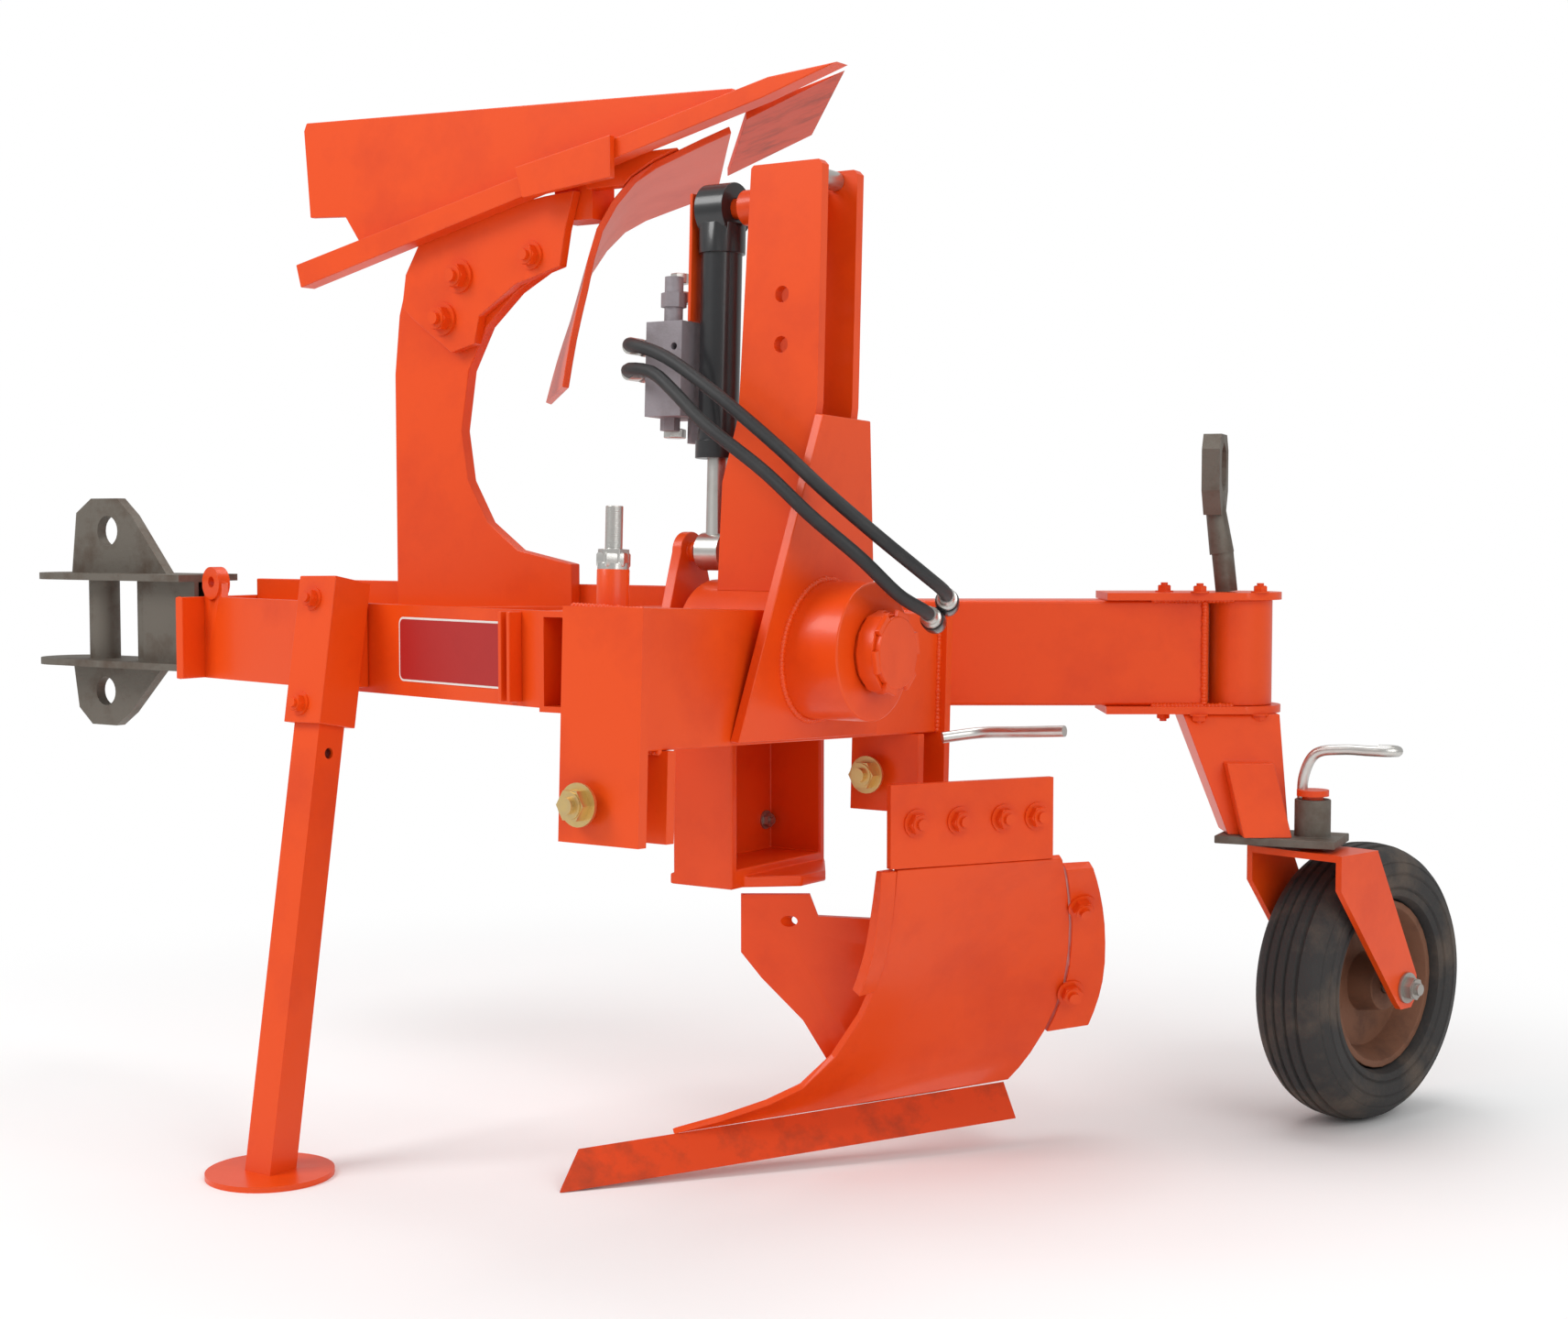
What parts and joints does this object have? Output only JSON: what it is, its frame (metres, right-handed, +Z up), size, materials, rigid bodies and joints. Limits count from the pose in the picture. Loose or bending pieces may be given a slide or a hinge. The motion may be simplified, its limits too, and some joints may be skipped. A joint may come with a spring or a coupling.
{
  "type": "moldboard plough",
  "caption": "Mounted reversible moldboard plough with an upper and a lower body, a turnover headstock, a parking leg and a gauge wheel.",
  "frame": {"origin": "centre of the bounding box at ground level", "axes": "+Z up; +X towards the tractor, along the turnover shaft; +Y to the far side, where the gauge wheel is"},
  "size_m": [2.1006, 1.4784, 1.548],
  "materials": {
    "paint": "gloss orange-red paint",
    "zinc": "yellow zinc plate",
    "bright": "bright machined steel",
    "rubber": "black rubber hose",
    "tyre": "worn rubber",
    "cylinder": "black paint",
    "raw": "raw grey-brown steel",
    "rim": "rusty brown paint"
  },
  "bodies": {
    "frame": {"arm_clamp": "paint", "crank_arm": "paint", "far_frame_bar": "paint", "frame_cross_bar": "paint", "frame_diagonal_bar": "paint", "front_cross_member": "paint", "knuckle_boss": "paint", "knuckle_bottom_plate": "paint", "knuckle_top_plate": "paint", "leg_sleeve": "paint", "lifting_eye": "raw", "lower_extension_plate": "paint", "lower_frog": "paint", "lower_moldboard": "paint", "lower_share": "paint", "lower_shin": "paint", "lower_tail_piece": "paint", "lower_tower": "paint", "near_frame_bar": "paint", "rear_bracket": "raw", "rear_frame_plate": "paint", "shaft_nut": "paint", "side_beam": "paint", "turnover_shaft": "paint", "upper_brace": "paint", "upper_clamp_plate": "paint", "upper_frog": "paint", "upper_landside_bar": "paint", "upper_landside_plate": "paint", "upper_moldboard": "paint", "upper_shank": "paint", "upper_share": "paint", "wheel_arm": "paint", "wheel_plate": "raw"},
    "headstock": {"cross_beam": "paint", "end_plate_near": "paint", "end_plate_far": "paint", "clevis_plate_near": "paint", "clevis_plate_far": "paint", "link_pin_near": "zinc", "link_pin_far": "zinc", "hub_tube": "paint", "pedestal_plate": "paint", "mast_near": "paint", "mast_far": "paint", "cylinder_pin": "paint", "mast_top_pin": "bright", "valve_bracket": "paint", "valve_block": "bright", "hose_upper": "rubber", "hose_lower": "rubber", "stop_screw": "bright"},
    "cylinder": {"cylinder_barrel": "cylinder"},
    "cylinder_rod": {"cylinder_rod": "bright"},
    "parking_leg": {"parking_leg": "paint"},
    "wheel_fork": {"wheel_fork": "paint"},
    "wheel": {"tyre": "tyre", "wheel_rim": "rim", "wheel_axle": "bright"}
  },
  "joints": [
    {"name": "turnover", "type": "hinge", "parent": "frame", "child": "headstock", "pos_m": [0.39967, -0.33816, 0.751], "axis": [1, 0, 0], "range_deg": [0, 180]},
    {"name": "cylinder_swing", "type": "hinge", "parent": "headstock", "child": "cylinder", "pos_m": [0.33867, -0.31426, 1.3465], "axis": [1, 0, 0], "range_deg": [-12, 12]},
    {"name": "cylinder_stroke", "type": "slide", "parent": "cylinder", "child": "cylinder_rod", "axis": [0, 0.0401, 0.9992], "range_m": [0, 0.1]},
    {"name": "leg_height", "type": "slide", "parent": "frame", "child": "parking_leg", "axis": [-0.0165, 0.1823, 0.9831], "range_m": [0, 0.35]},
    {"name": "wheel_swivel", "type": "hinge", "parent": "frame", "child": "wheel_fork", "pos_m": [0.91777, 0.39934, 0.44], "axis": [0, 0, 1], "range_deg": [-77, 13]},
    {"name": "wheel_spin", "type": "hinge", "parent": "wheel_fork", "child": "wheel", "pos_m": [0.94767, 0.52584, 0.214], "axis": [0.9732, -0.23, 0], "continuous": true}
  ]
}
